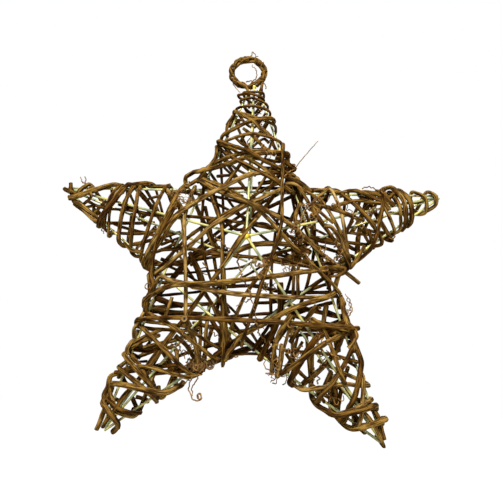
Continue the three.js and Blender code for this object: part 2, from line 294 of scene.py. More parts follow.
def bark_material():
    """Dried vine bark, streaked along the vine and patchy over a centimetre or two."""
    material, tree, surface = new_material("dried vine bark")
    place = add_node(tree, "ShaderNodeAttribute", {"attribute_name": "bark_place"})
    tone = add_node(tree, "ShaderNodeAttribute", {"attribute_name": "bark_tone"})
    stretch = (1 / GROOVE_WIDTH_MM, 1 / GROOVE_WIDTH_MM, 1 / GROOVE_LENGTH_MM)
    grain = add_node(tree, "ShaderNodeMapping", None, {"Vector": place.outputs["Vector"], "Scale": stretch})
    streaks = add_node(tree, "ShaderNodeTexNoise", None, {
        "Vector": grain.outputs[0], "Scale": 1.0, "Detail": 4.0, "Roughness": 0.6})
    patch_scale = (1 / PATCH_WIDTH_MM, 1 / PATCH_WIDTH_MM, 1 / PATCH_LENGTH_MM)
    wide = add_node(tree, "ShaderNodeMapping", None, {
        "Vector": place.outputs["Vector"], "Scale": patch_scale})
    patches = add_node(tree, "ShaderNodeTexNoise", None, {
        "Vector": wide.outputs[0], "Scale": 1.0, "Detail": 2.0})
    base = ramp(tree, tone.outputs["Fac"], [
        (0.0, "#2a1403"), (0.35, "#5a3b0c"), (0.7, "#8b6f37"), (1.0, "#b89e6c")])
    # Dirt and shade stay in the grooves, and the rubbed ridges keep the vine's own tone.
    light = ramp(tree, streaks.outputs["Fac"], [
        (0.37, "#160800"), (0.46, "#745824"), (0.54, "#fff8ea"), (0.7, "#ffffff")])
    streaked = add_node(tree, "ShaderNodeMix", {"data_type": "RGBA", "blend_type": "MULTIPLY"}, {
        "Factor": 0.85, "A": base, "B": light})
    # Where the outer bark has gone, the layer under it is browner.
    worn = ramp(tree, patches.outputs["Fac"], [(0.36, "#7d5f3a"), (0.5, "#ffffff"), (0.66, "#ffffff")])
    patched = add_node(tree, "ShaderNodeMix", {"data_type": "RGBA", "blend_type": "MULTIPLY"}, {
        "Factor": 0.85, "A": streaked.outputs["Result"], "B": worn})
    tree.links.new(patched.outputs["Result"], surface.inputs["Base Color"])
    grooves = add_node(tree, "ShaderNodeBump", None, {
        "Height": streaks.outputs["Fac"], "Strength": 1.0, "Distance": GROOVE_DEPTH})
    tree.links.new(grooves.outputs[0], surface.inputs["Normal"])
    surface.inputs["Roughness"].default_value = 0.82
    surface.inputs["Specular IOR Level"].default_value = 0.06
    return material


BARK = bark_material()
print(BARK.name, "with grooves", GROOVE_WIDTH_MM, "mm wide")

# %% [markdown]
# ## Cut ends
# The vines were cut with shears. A cut shows pale dry wood round a dark pith.

# %% Dry sapwood
PITH_END_MM = 0.9
WOOD_START_MM = 1.3


def cut_material():
    """Dry sapwood on the cut ends."""
    material, tree, surface = new_material("dry sapwood")
    place = add_node(tree, "ShaderNodeAttribute", {"attribute_name": "bark_place"})
    flat = add_node(tree, "ShaderNodeMapping", None, {
        "Vector": place.outputs["Vector"], "Scale": (2, 2, 0)})
    fibres = add_node(tree, "ShaderNodeTexNoise", None, {
        "Vector": flat.outputs[0], "Scale": 2.0, "Detail": 3.0})
    colour = ramp(tree, fibres.outputs["Fac"], [(0.3, "#4a3418"), (0.6, "#8a6b3c"), (0.8, "#a98b56")])
    round_place = add_node(tree, "ShaderNodeMapping", None, {
        "Vector": place.outputs["Vector"], "Scale": (1, 1, 0)})
    from_pith = add_node(tree, "ShaderNodeVectorMath", {"operation": "LENGTH"}, {
        0: round_place.outputs[0]})
    # Soft dark pith fills the middle millimetre, and gives way to wood within half a millimetre.
    wooded = add_node(tree, "ShaderNodeMapRange", None, {
        0: from_pith.outputs["Value"], 1: PITH_END_MM, 2: WOOD_START_MM})
    wood = add_node(tree, "ShaderNodeMix", {"data_type": "RGBA"}, {
        "Factor": wooded.outputs[0], "A": linear("#1c1006"), "B": colour})
    tree.links.new(wood.outputs["Result"], surface.inputs["Base Color"])
    surface.inputs["Roughness"].default_value = 0.9
    return material


CUT_WOOD = cut_material()
print(CUT_WOOD.name)

# %% [markdown]
# ## Wire
# The frame is thin steel wire with a yellow-passivated zinc coat: pale yellow-green where it
# shines, greenish grey where it has gone dull. Along the wire the two alternate over a
# centimetre or two.

# %% Passivated zinc
ZINC_PATCHES_PER_MM = (0.2, 0.2, 0.06)


def zinc_material():
    """Yellow-passivated zinc on steel wire, shiny in places."""
    material, tree, surface = new_material("yellow-passivated zinc")
    place = add_node(tree, "ShaderNodeAttribute", {"attribute_name": "bark_place"})
    wide = add_node(tree, "ShaderNodeMapping", None, {
        "Vector": place.outputs["Vector"], "Scale": ZINC_PATCHES_PER_MM})
    patches = add_node(tree, "ShaderNodeTexNoise", None, {
        "Vector": wide.outputs[0], "Scale": 1.0, "Detail": 3.0})
    colour = ramp(tree, patches.outputs["Fac"], [
        (0.35, "#6f7a5e"), (0.48, "#a0a470"), (0.58, "#c6bd70"), (0.7, "#e0d070")])
    tree.links.new(colour, surface.inputs["Base Color"])
    # The coat is rough where it has gone dull and smoother where it still shines.
    dull = add_node(tree, "ShaderNodeMapRange", None, {
        0: patches.outputs["Fac"], 1: 0.35, 2: 0.65, 3: 0.6, 4: 0.35})
    tree.links.new(dull.outputs[0], surface.inputs["Roughness"])
    surface.inputs["Metallic"].default_value = 0.25
    return material


ZINC = zinc_material()
print(ZINC.name)

# %% [markdown]
# ## From a faceted rod back to its middle line
# Every rod in the frame is a row of equal rings of vertices between two flat caps. Starting at
# one cap, the neighbours of each ring are the next ring, and the mean of a ring is a point of the
# middle line. A smooth curve through those points is what the real vine follows.

# %% Middle lines
SAME_PLACE = 2e-6


def middle_line(node):
    """The ring centres of a CAD rod, from one cap to the other, and its radius."""
    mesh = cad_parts[node].data
    index = {}
    points = []
    same = []
    for vertex in mesh.vertices:
        key = tuple(round(c / SAME_PLACE) for c in vertex.co)
        if key not in index:
            index[key] = len(points)
            points.append(np.array(vertex.co))
        same.append(index[key])
    faces = [[same[v] for v in polygon.vertices] for polygon in mesh.polygons]
    normals = [np.array(polygon.normal) for polygon in mesh.polygons]
    neighbours = [set() for _ in points]
    at_edge = {}
    for number, face in enumerate(faces):
        for a, b in zip(face, face[1:] + face[:1]):
            neighbours[a].add(b)
            neighbours[b].add(a)
            at_edge.setdefault(frozenset((a, b)), []).append(number)
    for number, face in enumerate(faces):
        flat = {number}
        grown = [number]
        while grown:
            now = grown.pop()
            for a, b in zip(faces[now], faces[now][1:] + faces[now][:1]):
                for other in at_edge[frozenset((a, b))]:
                    if other not in flat and normals[other] @ normals[number] > 0.99999:
                        flat.add(other)
                        grown.append(other)
        ring = {v for f in flat for v in faces[f]}
        centre = np.mean([points[v] for v in ring], axis=0)
        reach = [np.linalg.norm(points[v] - centre) for v in ring]
        if len(ring) >= 5 and max(reach) < 1.02 * min(reach):
            break
    line = [centre]
    done = set(ring)
    while True:
        ring = {n for v in ring for n in neighbours[v]} - done
        if not ring:
            break
        done |= ring
        line.append(np.mean([points[v] for v in ring], axis=0))
    return np.array(line), max(reach)


def smooth_line(points, step):
    """A centripetal curve through the points, sampled about every step."""
    points = np.asarray(points, float)
    ends = [2 * points[0] - points[1], 2 * points[-1] - points[-2]]
    knots = np.vstack([ends[0], points, ends[1]])
    out = []
    for p0, p1, p2, p3 in zip(knots, knots[1:], knots[2:], knots[3:]):
        t1 = math.sqrt(np.linalg.norm(p1 - p0))
        t2 = t1 + math.sqrt(np.linalg.norm(p2 - p1))
        t3 = t2 + math.sqrt(np.linalg.norm(p3 - p2))
        count = max(2, round(np.linalg.norm(p2 - p1) / step))
        t = np.linspace(t1, t2, count, endpoint=False)[:, None]
        a1 = (t1 - t) / t1 * p0 + t / t1 * p1
        a2 = (t2 - t) / (t2 - t1) * p1 + (t - t1) / (t2 - t1) * p2
        a3 = (t3 - t) / (t3 - t2) * p2 + (t - t2) / (t3 - t2) * p3
        b1 = (t2 - t) / t2 * a1 + t / t2 * a2
        b2 = (t3 - t) / (t3 - t1) * a2 + (t - t1) / (t3 - t1) * a3
        out.append((t2 - t) / (t2 - t1) * b1 + (t - t1) / (t2 - t1) * b2)
    return np.vstack(out + [points[-1:]])


sample = middle_line("hanging_ring")
print("the ring's vine has", len(sample[0]), "rings of radius", round(sample[1] / MM, 2), "mm")

# %% [markdown]
# ## One vine
# A vine is swept along its line by carrying one side direction from ring to ring, so it doesn't
# twist by itself. Its section is lobed by the grooves of the bark, it swells at the old leaf
# nodes, and it grows thinner toward one end. Each end is closed by a cut with a small hollow
# where the pith was.

# %% Vine meshes
# Roughness is a share of the radius. Lobes, waves along the vine and fine ridges take their part
# of it, and the waves are given in radians per metre.
BARK_ROUGHNESS = 0.07
LOBE_SHARE = 0.6
WAVE_SHARE = 0.45
RIDGE_SHARE = 0.55
WAVES = (60, 160, 420)
NODE_SWELLING = 0.16
NODE_SPREAD = 0.9


class Mesh:
    """Vertices, faces and per-vertex values, gathered before they become one Blender mesh."""

    def __init__(self):
        self.points = []
        self.faces = []
        self.places = []
        self.tones = []
        self.finishes = []
        self.count = 0

    def add(self, points, faces, places, tone, finish):
        self.points.append(points)
        self.faces.extend([tuple(v + self.count for v in face) for face in faces])
        self.places.append(places)
        self.tones.append(np.full(len(points), tone))
        self.finishes.extend([finish] * len(faces))
        self.count += len(points)

    def piece(self, name, materials, slot):
        """The finished Blender object."""
        mesh = bpy.data.meshes.new(name)
        mesh.from_pydata(np.vstack(self.points).tolist(), [], self.faces)
        place = mesh.attributes.new("bark_place", "FLOAT_VECTOR", "POINT")
        place.data.foreach_set("vector", np.vstack(self.places).astype(np.float32).ravel())
        tone = mesh.attributes.new("bark_tone", "FLOAT", "POINT")
        tone.data.foreach_set("value", np.concatenate(self.tones).astype(np.float32))
        for material in materials:
            mesh.materials.append(material)
        mesh.polygons.foreach_set("material_index", self.finishes)
        mesh.shade_smooth()
        obj = bpy.data.objects.new(name, mesh)
        bpy.context.scene.collection.objects.link(obj)
        return obj


def side_directions(line):
    """For each point of a line, its direction and two directions across it."""
    along = np.gradient(line, axis=0)
    along /= np.linalg.norm(along, axis=1)[:, None]
    side = np.cross(along[0], (0.0, 0.0, 1.0))
    if np.linalg.norm(side) < 0.1:
        side = np.cross(along[0], (1.0, 0.0, 0.0))
    sides = []
    for direction in along:
        side = side - direction * (side @ direction)
        side /= np.linalg.norm(side)
        sides.append(side)
    sides = np.array(sides)
    return along, sides, np.cross(along, sides)


def sweep(mesh, line, radius, seed, tone, sides=12, lobes=5, roughness=BARK_ROUGHNESS, taper=0.12,
          nodes_every=0.055, pith=0.3):
    """Add one vine to a mesh: a lobed, swelling, tapering rod along a line, with cut ends."""
    rng = random.Random(seed)
    along, across, over = side_directions(line)
    travelled = np.concatenate([[0], np.cumsum(np.linalg.norm(np.diff(line, axis=0), axis=1))])
    length = travelled[-1]
    angle = np.linspace(0, 2 * math.pi, sides, endpoint=False)[None, :]
    s = travelled[:, None]
    shape = 1 + taper * (0.5 - s / length) * rng.choice((-1, 1))
    for lobe in (2, lobes):
        drift = rng.uniform(-25, 25)
        phase = rng.uniform(0, 6.28)
        shape = shape + roughness * LOBE_SHARE * np.sin(lobe * angle + drift * s + phase)
    for wave in WAVES:
        swing = np.sin(wave * s * rng.uniform(0.8, 1.2) + rng.uniform(0, 6.28))
        shape = shape + roughness * WAVE_SHARE * swing
    node = rng.uniform(0.01, nodes_every)
    while node < length:
        shape = shape + NODE_SWELLING * np.exp(-((s - node) / (NODE_SPREAD * radius)) ** 2)
        node += nodes_every * rng.uniform(0.7, 1.4)
    ridges = np.random.default_rng(rng.randrange(10 ** 6)).normal(0, 1, (len(line), sides))
    window = np.hanning(7)[1:-1]
    ridges = np.apply_along_axis(np.convolve, 0, ridges, window / np.sqrt((window ** 2).sum()), "same")
    shape = shape + roughness * RIDGE_SHARE * ridges
    reach = radius * shape
    rings = (line[:, None, :] + across[:, None, :] * (reach * np.cos(angle))[:, :, None]
             + over[:, None, :] * (reach * np.sin(angle))[:, :, None])
    offset = rng.uniform(0, 500)
    places = np.stack([
        np.broadcast_to(radius / MM * np.cos(angle), reach.shape),
        np.broadcast_to(radius / MM * np.sin(angle), reach.shape),
        np.broadcast_to(s / MM + offset, reach.shape),
    ], axis=2)
    count = len(line)
    faces = []
    for ring in range(count - 1):
        for k in range(sides):
            a = ring * sides + k
            b = ring * sides + (k + 1) % sides
            faces.append((a, b, b + sides, a + sides))
    mesh.add(rings.reshape(-1, 3), faces, places.reshape(-1, 3), tone, 0)
    for end, inward in ((0, 1), (count - 1, -1)):
        rim = rings[end]
        middle = rim.mean(axis=0)
        lip = middle + (rim - middle) * pith + along[end] * inward * radius * 0.08
        bottom = middle + along[end] * inward * radius * 1.7 * pith
        cap = np.vstack([rim, lip, bottom[None, :]])
        cap_places = np.vstack([places[end], places[end] * (pith, pith, 1), [[0, 0, places[end][0][2]]]])
        cap_faces = []
        for k in range(sides):
            n = (k + 1) % sides
            cap_faces.append((n, k, k + sides, n + sides) if inward == 1 else (k, n, n + sides, k + sides))
            inner = (n + sides, k + sides, 2 * sides)
            cap_faces.append(inner if inward == 1 else (inner[1], inner[0], inner[2]))
        mesh.add(cap, cap_faces, cap_places, tone, 1)


print("vines are swept with 5 to 16 sides, thin ones with fewer")

# %% [markdown]
# ## Tones
# Tones were read from the photograph: most vines are mid brown, a few are pale, some are dark.

# %% Tones
PALE = ("right_arm_light_vine", "front_middle_vine")
DARK = ("lower_right_steep_vine", "left_arm_lower_vine")
PALE_TONE = 0.82
DARK_TONE = 0.35
TONE_SPREAD = 0.18


def tone_of(name, middle=0.6):
    """A vine's tone, from 0 for dark umber to 1 for pale straw."""
    middle = PALE_TONE if name in PALE else DARK_TONE if name in DARK else middle
    return middle + random.Random(name).uniform(-TONE_SPREAD, TONE_SPREAD)


print("a pale vine's tone:", round(tone_of(PALE[0]), 2))

# %% [markdown]
# ## Turns pulled tight
# The rods turn round the edge wires in wide bends, because each had to clear the next. A real
# vine is pulled tight there. So whatever lies outside the star's outline is drawn back toward it,
# all but a quarter of the way, and never by more than a few millimetres.

# %% Turns
SLACK_KEPT = 0.25
MOST_PULL = 7 * MM
SNUG_GAP = 0.4 * MM
OUTLINE = np.array([(point.x, point.z) for arm in range(5) for point in (tip(arm), corner(arm))])


def outside(places):
    """For points of the star's plane, how far outside its outline they lie, and the way back in."""
    nearest = np.full(len(places), np.inf)
    back = np.zeros_like(places)
    crossings = np.zeros(len(places), int)
    for a, b in zip(OUTLINE, np.roll(OUTLINE, -1, axis=0)):
        share = np.clip(((places - a) @ (b - a)) / ((b - a) @ (b - a)), 0, 1)
        foot = a + share[:, None] * (b - a) - places
        gap = np.linalg.norm(foot, axis=1)
        back = np.where((gap < nearest)[:, None], foot / np.maximum(gap, 1e-9)[:, None], back)
        nearest = np.minimum(gap, nearest)
        rises = (a[1] > places[:, 1]) != (b[1] > places[:, 1])
        at = a[0] + (places[:, 1] - a[1]) / (b[1] - a[1] + 1e-12) * (b[0] - a[0])
        crossings += rises & (places[:, 0] < at)
    return np.where(crossings % 2 == 1, 0, nearest), back


def draw_in(line, radius):
    """The line with its turns pulled tight, so that they hug the edge wires."""
    distance, back = outside(line[:, (0, 2)])
    snug = WIRE_RADIUS + radius + SNUG_GAP
    over = np.clip(distance - snug, 0, None)
    pull = np.minimum(over * (1 - SLACK_KEPT), MOST_PULL)
    pull = np.convolve(np.pad(pull, 2, mode="edge"), np.full(5, 0.2), mode="valid")
    return line + np.insert(back * pull[:, None], 1, 0, axis=1)


print("turns are drawn in by up to", MOST_PULL / MM, "mm")

# %% [markdown]
# ## The main vines and the ring
# Each main vine takes the line and the thickness of its rod in the frame, and stands in for it.
# Its bark stands out in lobes, so the sweep starts from a radius a little under the rod's. The
# ring's vine is thinner and more knobbly.

# %% Main vines
DETAIL_STEP = 1.7 * MM
ROUND_SHARE = 0.92
RING_ROUGHNESS = 0.12
main_vines = [name for name in sorted(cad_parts) if name.endswith("vine") or "vine_" in name]
main_lines = {}
metres = 0.0
for name in main_vines + ["hanging_ring"]:
    line, radius = middle_line(name)
    line = smooth_line(line, DETAIL_STEP)
    if name not in ("hanging_ring", "front_straight_vine"):
        line = draw_in(line, radius)
    main_lines[name] = (line, radius)
    metres += float(np.linalg.norm(np.diff(line, axis=0), axis=1).sum())
    mesh = Mesh()
    roughness = RING_ROUGHNESS if name == "hanging_ring" else BARK_ROUGHNESS
    sweep(mesh, line, ROUND_SHARE * radius, name, tone_of(name), sides=14, roughness=roughness)
    piece = mesh.piece(name + "_bark", [BARK, CUT_WOOD], "vine_bark")
    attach(piece, "root")
    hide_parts(name)
print(len(main_vines), "main vines,", round(metres, 2), "m with the ring")

# %% [markdown]
# ## The wire star
# The wires are rods too, so the same sweep draws them round and smooth. Drawn wire has no leaf
# nodes, so their spacing is made longer than any wire.

# %% Wires
WIRE_STEP = 4 * MM
WIRE_ROUGHNESS = 0.012
NODES_FAR_APART = 9
wires = [name for name in sorted(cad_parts) if name.endswith("wire")]
for name in wires:
    line, radius = middle_line(name)
    line = smooth_line(line, WIRE_STEP)
    main_lines[name] = (line, radius)
    mesh = Mesh()
    sweep(mesh, line, radius, name, 0.5, roughness=WIRE_ROUGHNESS, taper=0, nodes_every=NODES_FAR_APART)
    piece = mesh.piece(name + "_zinc", [ZINC, ZINC], "galvanised_wire")
    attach(piece, "root")
    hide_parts(name)
print(len(wires), "wires")

# %% [markdown]
# ## Strands between the main vines
# Between the main vines lies a mass of thinner pieces. Each was followed in the photograph, in
# enlargements of it, and is written as points of one enlargement. Only its course is known from
# the picture. How deep it lies is worked out: every point may slide along the camera's line of
# sight until the strand lies on what carries it.
#
# - "over" strands are pulled tight over the front of everything laid before them,
# - "under" strands run just beneath the front layer,
# - "back" strands are pulled tight over the rear of the star,
# - "inside" strands run just within the rear layer.

# %% Enlargements of the photograph: left edge, upper edge and scale
ENLARGEMENTS = {
    "body": (130, 170, 6.533),
    "top": (205, 50, 10.45),
    "left": (60, 165, 12.06),
    "right": (310, 165, 11.2),
    "lower_left": (90, 300, 10.453),
    "lower_right": (270, 300, 10.116),
}
# Each strand: how it lies, its thickness in millimetres and its course in the enlargement.
STRANDS = {
    "body": [
        ("over", 3.5, [(850, 290), (760, 400), (640, 570), (590, 640)]),
        ("under", 3.5, [(180, 650), (380, 440), (540, 330), (720, 230), (890, 120), (1000, 80)]),
        ("under", 3.5, [(0, 260), (140, 290), (340, 300), (570, 320), (760, 350), (960, 390)]),
        ("under", 4, [(200, 520), (390, 515), (530, 545), (700, 560), (900, 580), (1040, 600), (1200, 640)]),
        ("back", 3, [(160, 690), (400, 670), (600, 650), (740, 630), (880, 560), (1050, 520)]),
        ("under", 5.5, [(640, 560), (720, 520), (800, 490), (950, 480), (1090, 500), (1180, 540)]),
        ("under", 6, [(980, 735), (985, 870), (955, 1010), (885, 1160)]),
        ("under", 3.5, [(1060, 480), (1070, 640), (1065, 830)]),
        ("under", 3.5, [(1110, 560), (1095, 700), (1100, 830)]),
        ("over", 4, [(480, 60), (610, 120), (730, 185), (850, 270), (950, 370), (1030, 460), (1180, 610),
                     (1290, 710), (1360, 790), (1395, 860)]),
        ("over", 3.5, [(1110, 110), (1260, 220), (1360, 380), (1430, 560)]),
        ("over", 3, [(235, 130), (290, 190), (345, 260)]),
        ("over", 4.5, [(300, 230), (215, 370), (160, 520), (138, 680), (150, 745), (108, 860), (100, 930)]),
        ("back", 4, [(490, 240), (530, 420), (560, 640), (600, 800), (650, 940)]),
        ("under", 4, [(940, 170), (860, 270), (770, 370), (640, 560)]),
        ("under", 4, [(1130, 170), (1080, 320), (1110, 450), (1080, 620)]),
        ("back", 6.5, [(380, 1290), (520, 1260), (700, 1190), (840, 1140), (930, 1060)]),
        ("back", 5, [(560, 1250), (640, 1170), (760, 1130), (830, 1180)]),
        ("back", 3, [(640, 1210), (790, 1200), (920, 1210)]),
        ("under", 4, [(960, 560), (880, 650), (770, 790), (680, 980), (640, 1100), (612, 1200)]),
        ("under", 4, [(540, 880), (590, 1000), (660, 1120)]),
        ("under", 4, [(860, 730), (820, 880), (790, 960)]),
        ("over", 4.5, [(350, 1000), (410, 1080), (440, 1230)]),
        ("under", 3.5, [(400, 1050), (520, 1130), (600, 1170)]),
        ("back", 3.5, [(280, 1230), (400, 1185), (560, 1140), (700, 1110)]),
        ("back", 4, [(440, 1010), (600, 1040), (760, 1050), (900, 1000)]),
        ("back", 4, [(150, 920), (300, 930), (480, 940), (600, 960), (860, 940), (1060, 930), (1240, 900)]),
        ("inside", 6, [(180, 840), (260, 870), (345, 885)]),
        ("under", 3.5, [(275, 830), (240, 930), (205, 1010)]),
        ("over", 5, [(1055, 945), (985, 1050), (945, 1160), (930, 1300)]),
        ("over", 3, [(1050, 1010), (1010, 1150), (960, 1320)]),
        ("over", 3, [(1240, 640), (1330, 630), (1410, 645), (1380, 680), (1290, 700)]),
        ("inside", 4, [(390, 560), (430, 640), (480, 780), (590, 960)]),
        ("inside", 4, [(200, 580), (330, 620), (440, 560), (600, 500)]),
        ("inside", 5, [(390, 540), (460, 680), (480, 740)]),
        ("inside", 4, [(870, 560), (980, 540), (1090, 510), (1200, 470)]),
        ("inside", 4, [(620, 330), (700, 390), (860, 350), (960, 400)]),
        ("inside", 4, [(1340, 800), (1200, 800), (1100, 800), (960, 790), (840, 760), (620, 760)]),
        ("back", 4, [(820, 870), (960, 860), (1130, 800), (1240, 760)]),
        ("back", 4, [(400, 620), (480, 560), (640, 520)]),
        ("over", 3.5, [(612, 640), (615, 760), (608, 880), (612, 1000), (614, 1120), (606, 1262)]),
    ],
    "top": [
        ("over", 4, [(310, 640), (400, 690), (500, 740), (590, 830), (690, 920)]),
        ("back", 3, [(600, 610), (520, 700), (450, 780)]),
        ("back", 3, [(420, 620), (480, 700), (560, 760)]),
        ("over", 3.5, [(300, 680), (240, 770), (225, 850)]),
        ("under", 3.5, [(250, 800), (330, 740), (420, 730)]),
        ("over", 4, [(540, 780), (640, 860), (700, 920)]),
        ("under", 4, [(400, 820), (500, 900), (620, 1020), (750, 1110)]),
        ("under", 3, [(320, 920), (400, 990), (470, 1000)]),
        ("back", 4, [(610, 840), (500, 960), (380, 1060)]),
        ("under", 4, [(690, 900), (720, 1000), (780, 1100)]),
        ("over", 3.5, [(120, 1010), (110, 1120), (60, 1190), (0, 1270)]),
        ("over", 4, [(190, 1000), (290, 1040), (400, 1110), (560, 1200), (680, 1290), (800, 1400),
                     (930, 1500)]),
        ("over", 4, [(150, 1030), (300, 1130), (440, 1200), (600, 1290), (740, 1370), (900, 1500)]),
        ("over", 5, [(0, 1370), (100, 1390), (230, 1450), (400, 1540)]),
        ("back", 4, [(130, 1320), (250, 1310), (350, 1320)]),
        ("under", 4, [(370, 1190), (290, 1310), (190, 1430)]),
        ("back", 5, [(560, 1400), (680, 1380), (800, 1370)]),
        ("under", 3.5, [(500, 1130), (650, 1150), (780, 1170)]),
        ("back", 4, [(600, 1230), (770, 1240)]),
        ("back", 3.5, [(620, 1290), (700, 1260), (800, 1290)]),
        ("over", 5, [(740, 1120), (830, 1160), (910, 1225)]),
        ("over", 4.5, [(790, 1310), (900, 1340), (1010, 1400), (1110, 1480)]),
        ("over", 4, [(830, 1400), (930, 1400), (1020, 1450)]),
        ("over", 3.2, [(360, 470), (430, 458), (500, 462), (590, 495)]),
        ("under", 3, [(480, 1030), (560, 960), (620, 930), (680, 990)]),
        ("back", 3.5, [(420, 880), (380, 960), (480, 1030), (610, 1040)]),
    ],
    "left": [
        ("over", 4, [(65, 290), (140, 320), (230, 370)]),
        ("under", 3.5, [(330, 430), (450, 495), (580, 525), (850, 550), (1060, 600), (1220, 620)]),
        ("over", 4.5, [(190, 480), (300, 560), (380, 640), (460, 690)]),
        ("over", 4.5, [(170, 430), (280, 500), (400, 600)]),
        ("over", 3, [(390, 260), (345, 300), (380, 370), (330, 440)]),
        ("under", 3, [(410, 480), (400, 580)]),
        ("back", 4, [(430, 590), (550, 590)]),
        ("back", 4, [(625, 300), (650, 420)]),
        ("under", 3.5, [(560, 430), (480, 510), (410, 590)]),
        ("under", 3, [(650, 390), (770, 330)]),
        ("back", 3.5, [(630, 700), (740, 745), (900, 790), (1040, 820), (1170, 860)]),
        ("back", 4.5, [(870, 580), (850, 760), (820, 920)]),
        ("over", 4, [(1400, 420), (1270, 650), (1170, 820), (1070, 1000)]),
        ("over", 4, [(1500, 520), (1330, 720), (1230, 900), (1080, 1110)]),
        ("back", 4, [(1140, 480), (1060, 580), (950, 660)]),
        ("back", 4, [(1150, 750), (1050, 860), (930, 1000)]),
        ("over", 3, [(850, 230), (950, 215), (1040, 210), (1130, 225)]),
        ("over", 3.5, [(1290, 300), (1400, 400), (1490, 540)]),
        ("back", 5, [(1320, 370), (1390, 540)]),
        ("under", 3, [(1040, 420), (1130, 390), (1220, 370)]),
        ("back", 3.5, [(1230, 1030), (1400, 1000), (1568, 985)]),
        ("back", 3.5, [(1220, 960), (1430, 880)]),
        ("over", 4, [(790, 960), (870, 1030), (1010, 1050)]),
        ("back", 3.5, [(1260, 900), (1360, 930), (1440, 970)]),
        ("inside", 4, [(700, 470), (840, 520), (960, 560)]),
        ("over", 3, [(750, 260), (650, 400), (600, 560), (590, 720), (580, 850)]),
    ],
    "right": [
        ("over", 3, [(40, 285), (210, 275), (300, 300), (440, 300)]),
        ("over", 4, [(435, 290), (520, 290), (600, 315), (720, 370), (830, 415), (900, 520)]),
        ("over", 5, [(665, 310), (770, 330), (850, 380), (960, 470)]),
        ("over", 4, [(250, 470), (420, 420), (560, 400), (700, 420), (880, 440)]),
        ("over", 4.5, [(30, 430), (160, 465), (330, 515), (510, 590), (600, 620)]),
        ("under", 4, [(650, 720), (685, 830), (680, 920), (620, 990)]),
        ("back", 5, [(560, 700), (540, 820), (530, 960)]),
        ("under", 3, [(570, 700), (620, 800), (690, 930)]),
        ("over", 4.5, [(770, 610), (840, 720), (900, 820)]),
        ("back", 4, [(590, 330), (520, 500), (450, 660), (380, 830)]),
        ("back", 4, [(620, 430), (590, 560)]),
        ("under", 4, [(650, 360), (700, 480), (790, 640)]),
        ("back", 3.5, [(400, 340), (380, 500), (370, 560)]),
        ("over", 4, [(150, 680), (230, 690), (330, 830), (430, 1030)]),
        ("over", 3.5, [(0, 480), (100, 590), (200, 740), (330, 920), (430, 1060)]),
        ("over", 3, [(20, 440), (150, 560), (260, 650)]),
        ("under", 5, [(0, 800), (130, 850), (280, 870)]),
        ("back", 4, [(400, 890), (480, 940), (560, 965)]),
        ("over", 4, [(480, 1120), (560, 1000), (610, 900)]),
        ("under", 3.5, [(1050, 430), (1180, 420), (1290, 400)]),
        ("over", 3, [(830, 300), (880, 370), (940, 320), (990, 350)]),
        ("back", 3, [(780, 600), (900, 550), (960, 530)]),
        ("inside", 4, [(200, 330), (160, 430), (60, 560), (0, 640)]),
        ("inside", 4, [(480, 620), (420, 720), (360, 850), (330, 960)]),
        ("over", 3.5, [(200, 270), (100, 350), (20, 440)]),
        ("back", 4, [(980, 430), (1060, 560), (1100, 640)]),
    ],
    "lower_left": [
        ("over", 4, [(560, 140), (500, 250), (465, 290), (460, 400)]),
        ("over", 4, [(410, 480), (560, 390), (740, 310)]),
        ("over", 3.5, [(430, 500), (600, 410), (720, 370)]),
        ("over", 4, [(430, 440), (385, 520), (400, 590)]),
        ("over", 4, [(440, 580), (560, 740), (620, 870), (665, 990)]),
        ("under", 3.5, [(300, 750), (450, 740), (620, 710), (960, 670)]),
        ("back", 5, [(630, 770), (800, 750), (1000, 740)]),
        ("back", 5, [(760, 540), (850, 680), (900, 850)]),
        ("back", 6, [(830, 700), (950, 730), (1060, 740)]),
        ("under", 4, [(890, 370), (1010, 480), (1090, 610)]),
        ("back", 5, [(1260, 200), (1350, 330), (1440, 410)]),
        ("back", 4, [(330, 780), (380, 880), (410, 920)]),
        ("over", 4, [(190, 1040), (280, 1120), (400, 1170), (500, 1180)]),
        ("under", 3.5, [(280, 1110), (350, 1000), (420, 930)]),
        ("back", 4, [(440, 1020), (480, 1110)]),
        ("back", 4, [(480, 1010), (590, 1040)]),
        ("back", 4, [(650, 830), (690, 950)]),
        ("back", 3.5, [(760, 500), (650, 690), (560, 830)]),
        ("back", 3.5, [(500, 400), (560, 500), (640, 420)]),
        ("back", 3, [(440, 650), (600, 640)]),
        ("back", 4, [(660, 60), (760, 150), (900, 160)]),
        ("back", 4, [(640, 120), (800, 130), (1000, 150), (1180, 140)]),
        ("back", 4, [(1080, 240), (1280, 280), (1420, 300), (1568, 320)]),
        ("inside", 4, [(470, 520), (600, 530), (740, 480)]),
        ("under", 3.6, [(1130, 10), (990, 190), (850, 350), (720, 510), (590, 690)]),
    ],
    "lower_right": [
        ("over", 4, [(430, 190), (500, 240), (570, 360), (620, 480), (680, 650), (760, 850)]),
        ("under", 5, [(570, 60), (550, 150), (540, 240)]),
        ("under", 5, [(720, 400), (640, 560), (480, 730), (350, 840)]),
        ("over", 3.5, [(790, 230), (860, 310), (875, 370), (780, 500)]),
        ("over", 4, [(900, 700), (940, 780), (940, 900), (930, 1130), (900, 1260)]),
        ("over", 4, [(650, 1165), (780, 1130), (900, 1080), (1000, 1020)]),
        ("over", 4.5, [(940, 1090), (1085, 1085)]),
        ("under", 3.5, [(820, 1150), (880, 1190), (870, 1250), (940, 1330)]),
        ("under", 3.5, [(160, 520), (400, 530), (600, 550), (800, 600)]),
        ("back", 4, [(200, 370), (340, 350), (500, 350), (700, 370)]),
        ("back", 4, [(240, 150), (400, 90), (560, 40)]),
        ("under", 4.5, [(470, 60), (350, 220), (200, 430)]),
        ("over", 5, [(120, 450), (110, 600), (85, 740)]),
        ("back", 3.5, [(280, 370), (230, 560), (150, 710)]),
